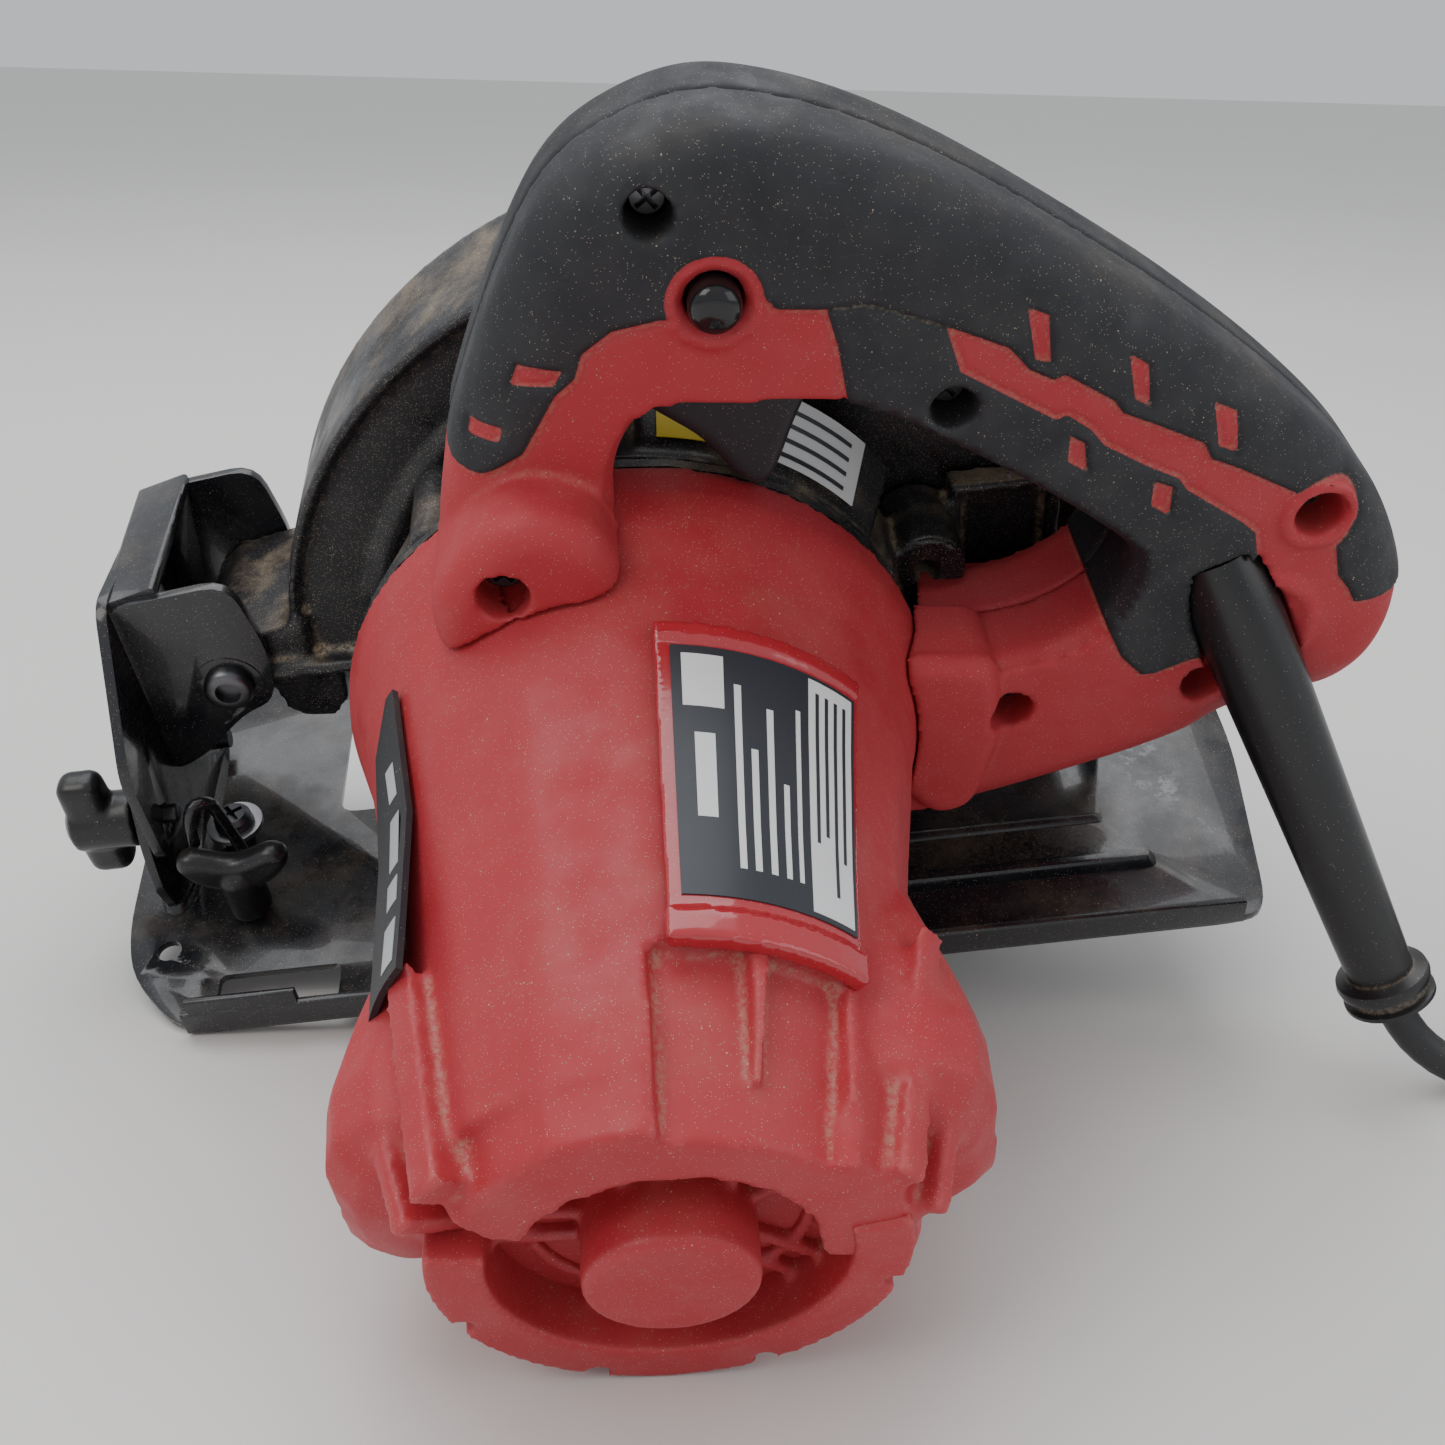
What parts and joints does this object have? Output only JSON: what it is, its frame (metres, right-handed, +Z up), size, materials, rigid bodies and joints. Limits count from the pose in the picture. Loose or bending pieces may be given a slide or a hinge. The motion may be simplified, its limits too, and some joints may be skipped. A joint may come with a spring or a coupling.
{
  "type": "circular saw",
  "caption": "Hand-held electric circular saw with a D-shaped handle, a motor across the blade, a hinged base plate and a sprung lower guard.",
  "frame": {"origin": "on the floor, under the middle of the resting saw without its lead", "axes": "+Z up from the floor, +X towards the rear of the handle, -Y towards the motor end; the saw lies tilted as it rests"},
  "size_m": [0.5306, 0.2686, 0.2276],
  "materials": {
    "red_plastic": "fine moulded texture, sawdust in its grooves",
    "glossy_red": "polished panel",
    "charcoal_plastic": "soft moulded grip",
    "black_plastic": "moulded, slightly worn",
    "black_cast": "black paint over a casting, dusty",
    "black_paint": "glossy black paint over pressed steel",
    "die_cast": "as cast",
    "bare_steel": "machined",
    "dark_steel": "oil blackened",
    "blade_steel": "ground",
    "zinc_plated": "zinc plated",
    "winding": "enamelled copper",
    "brass_parts": "drawn brass",
    "carbon": "pressed carbon",
    "cord_rubber": "black rubber"
  },
  "bodies": {
    "saw_body": {"motor_housing": "red_plastic", "end_cover": "red_plastic", "gear_housing": "black_cast", "bearing_bracket": "die_cast", "bearing_box": "die_cast", "blade_case": "black_cast", "stator_core": "bare_steel", "field_coil_upper": "winding", "field_coil_lower": "winding", "spindle_ball_bearing": "bare_steel", "spindle_needle_bearing": "bare_steel", "rotor_front_bearing": "bare_steel", "rotor_rear_bearing": "bare_steel", "brush_holder_front": "brass_parts", "brush_holder_rear": "brass_parts", "carbon_brush_front": "carbon", "carbon_brush_rear": "carbon", "brush_cap_front": "black_plastic", "brush_cap_rear": "black_plastic", "strain_relief": "cord_rubber", "handle_screw_1": "zinc_plated", "handle_screw_2": "zinc_plated", "handle_screw_3": "zinc_plated", "handle_screw_4": "zinc_plated", "handle_screw_5": "zinc_plated", "name_panel": "glossy_red", "side_panel": "charcoal_plastic", "handle_near": "charcoal_plastic", "handle_far": "charcoal_plastic", "trigger_pin": "bare_steel", "switch_body": "black_plastic", "power_cord": "cord_rubber", "cord_coil": "cord_rubber", "plug": "cord_rubber"},
    "blade_assembly": {"driven_gear": "bare_steel", "blade": "blade_steel", "inner_flange": "bare_steel", "outer_flange": "bare_steel", "blade_bolt": "zinc_plated", "spindle": "bare_steel"},
    "rotor": {"pinion": "bare_steel", "rotor_shaft": "bare_steel", "rotor_core": "bare_steel", "commutator": "winding", "cooling_fan": "black_plastic"},
    "guard": {"lower_guard": "zinc_plated", "guard_lever": "zinc_plated"},
    "trigger": {"trigger": "black_plastic"},
    "lock_button": {"lock_button": "black_plastic"},
    "depth_carrier": {"front_bracket": "black_paint", "depth_pivot_pin": "dark_steel", "depth_link": "black_paint"},
    "base": {"base_plate": "black_paint", "bevel_quadrant": "black_paint", "bevel_pin_front": "dark_steel", "bevel_pin_rear": "dark_steel", "stop_screw": "zinc_plated"},
    "depth_lever": {"depth_lever": "black_plastic"},
    "bevel_knob": {"bevel_knob": "black_plastic"},
    "fence_screw": {"fence_screw": "black_plastic"}
  },
  "joints": [
    {"name": "blade_spin", "type": "hinge", "parent": "saw_body", "child": "blade_assembly", "pos_m": [-0.00079, 0.07952, 0.09802], "axis": [-0.041, 0.9422, 0.3324], "continuous": true},
    {"name": "rotor_spin", "type": "hinge", "parent": "saw_body", "child": "rotor", "pos_m": [-0.02424, 0.07483, 0.10842], "axis": [-0.041, 0.9422, 0.3324], "continuous": true},
    {"name": "guard_swing", "type": "hinge", "parent": "saw_body", "child": "guard", "pos_m": [-0.00079, 0.07952, 0.09802], "axis": [0.041, -0.9422, -0.3324], "range_deg": [0, 142], "stiffness_Nm_per_rad": 0.12, "springref_deg": -68.75},
    {"name": "trigger_pull", "type": "hinge", "parent": "saw_body", "child": "trigger", "pos_m": [0.01464, -0.01641, 0.18533], "axis": [-0.041, 0.9422, 0.3324], "range_deg": [0, 8], "stiffness_Nm_per_rad": 0.8, "springref_deg": -11.46},
    {"name": "lock_press", "type": "slide", "parent": "saw_body", "child": "lock_button", "axis": [-0.041, 0.9422, 0.3324], "range_m": [0, 0.004], "stiffness_N_per_m": 400, "springref_m": -0.002},
    {"name": "depth_swing", "type": "hinge", "parent": "saw_body", "child": "depth_carrier", "pos_m": [-0.12653, 0.07751, 0.08821], "axis": [-0.041, 0.9422, 0.3324], "range_deg": [-5, 15]},
    {"name": "bevel_tilt", "type": "hinge", "parent": "depth_carrier", "child": "base", "pos_m": [-0.00972, 0.09392, 0.0561], "axis": [0.9925, 0, 0.1224], "range_deg": [0, 45]},
    {"name": "depth_lever_turn", "type": "hinge", "parent": "saw_body", "child": "depth_lever", "pos_m": [0.09222, 0.03875, 0.1348], "axis": [-0.041, 0.9422, 0.3324], "range_deg": [-60, 20]},
    {"name": "bevel_knob_turn", "type": "hinge", "parent": "depth_carrier", "child": "bevel_knob", "pos_m": [-0.14919, 0.03909, 0.04317], "axis": [0.9925, 0, 0.1224], "range_deg": [-180, 90]},
    {"name": "fence_screw_turn", "type": "hinge", "parent": "base", "child": "fence_screw", "pos_m": [-0.12353, 0.03483, 0.02303], "axis": [-0.1154, -0.3349, 0.9352], "range_deg": [0, 360]}
  ],
  "couplings": [
    {"joint": "rotor_spin", "follows": "blade_spin", "ratio": -5.625}
  ]
}
